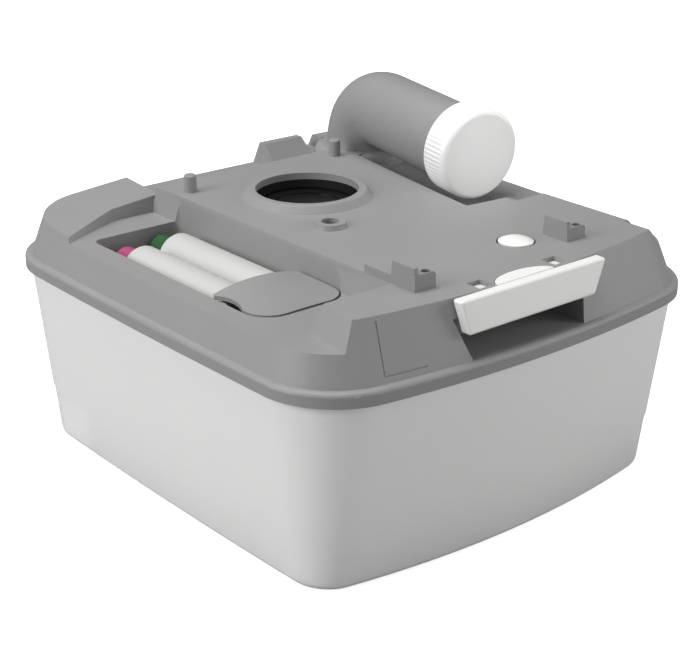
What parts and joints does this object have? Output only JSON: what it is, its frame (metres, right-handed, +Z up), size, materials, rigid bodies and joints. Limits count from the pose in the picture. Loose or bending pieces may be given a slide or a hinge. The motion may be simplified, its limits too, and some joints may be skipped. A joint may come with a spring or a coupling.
{
  "type": "portable toilet waste tank",
  "caption": "Waste tank of a portable toilet with a sliding blade valve, a swivelling pour-out spout with screw cap, a vent button and a lidded storage well with bottles.",
  "frame": {"origin": "on the floor under the middle of the tank's outline", "axes": "+X to the right seen from the handle side, +Y from the handle to the back, +Z up"},
  "size_m": [0.383, 0.427, 0.2673],
  "materials": {
    "white_tub": "satin moulded polyethylene",
    "grey_deck": "satin moulded polyethylene with a fine grain",
    "grey_spout": "satin moulded polyethylene",
    "white_trim": "semi-gloss moulded plastic",
    "dark_blade": "polished dark plastic",
    "dark_tray": "matte",
    "black_rubber": "smooth rubber",
    "steel": "stainless",
    "white_bottle": "satin blown bottle",
    "pink_cap": "satin",
    "green_cap": "satin"
  },
  "bodies": {
    "tank": {"tank_tub": "white_tub", "tank_deck": "grey_deck", "seam_gasket": "black_rubber", "inlet_seal": "black_rubber", "valve_tray": "dark_tray", "tray_screws": "steel", "tongue_wiper": "black_rubber", "vent_housing": "grey_deck", "vent_spring": "steel", "flap_pins": "steel", "bottle_left": "white_bottle", "bottle_right": "white_bottle", "bottle_cap_left": "pink_cap", "bottle_cap_right": "green_cap"},
    "valve": {"valve_blade": "dark_blade", "valve_handle": "white_trim", "blade_rivets": "steel"},
    "vent": {"vent_button": "white_trim", "vent_seal": "black_rubber", "vent_clip": "white_trim"},
    "spout": {"pour_spout": "grey_spout", "spout_retainer": "dark_tray", "spout_o_ring": "black_rubber"},
    "cap_lift": {"cap_gasket": "black_rubber"},
    "cap": {"spout_cap": "white_trim"},
    "flap": {"well_flap": "grey_deck"}
  },
  "joints": [
    {"name": "valve_slide", "type": "slide", "parent": "tank", "child": "valve", "axis": [0, -1, 0], "range_m": [0, 0.095]},
    {"name": "vent_press", "type": "slide", "parent": "tank", "child": "vent", "axis": [0, 0, -1], "range_m": [0, 0.0045], "stiffness_N_per_m": 300, "springref_m": -0.006, "deforming": ["vent_spring"]},
    {"name": "spout_swivel", "type": "hinge", "parent": "tank", "child": "spout", "pos_m": [0.135, 0.141, 0.19], "axis": [0, 0, 1], "range_deg": [0, 180]},
    {"name": "cap_slide", "type": "slide", "parent": "spout", "child": "cap_lift", "axis": [-0.1026, -0.9926, -0.0645], "range_m": [0, 0.009]},
    {"name": "cap_turn", "type": "hinge", "parent": "cap_lift", "child": "cap", "pos_m": [0.11941, -0.00988, 0.22779], "axis": [-0.1026, -0.9926, -0.0645], "range_deg": [0, 540]},
    {"name": "flap_hinge", "type": "hinge", "parent": "tank", "child": "flap", "pos_m": [-0.12, -0.084, 0.1768], "axis": [1, 0, 0], "range_deg": [0, 100]}
  ],
  "couplings": [
    {"joint": "cap_slide", "follows": "cap_turn", "m_per_rad": 0.00095493}
  ]
}
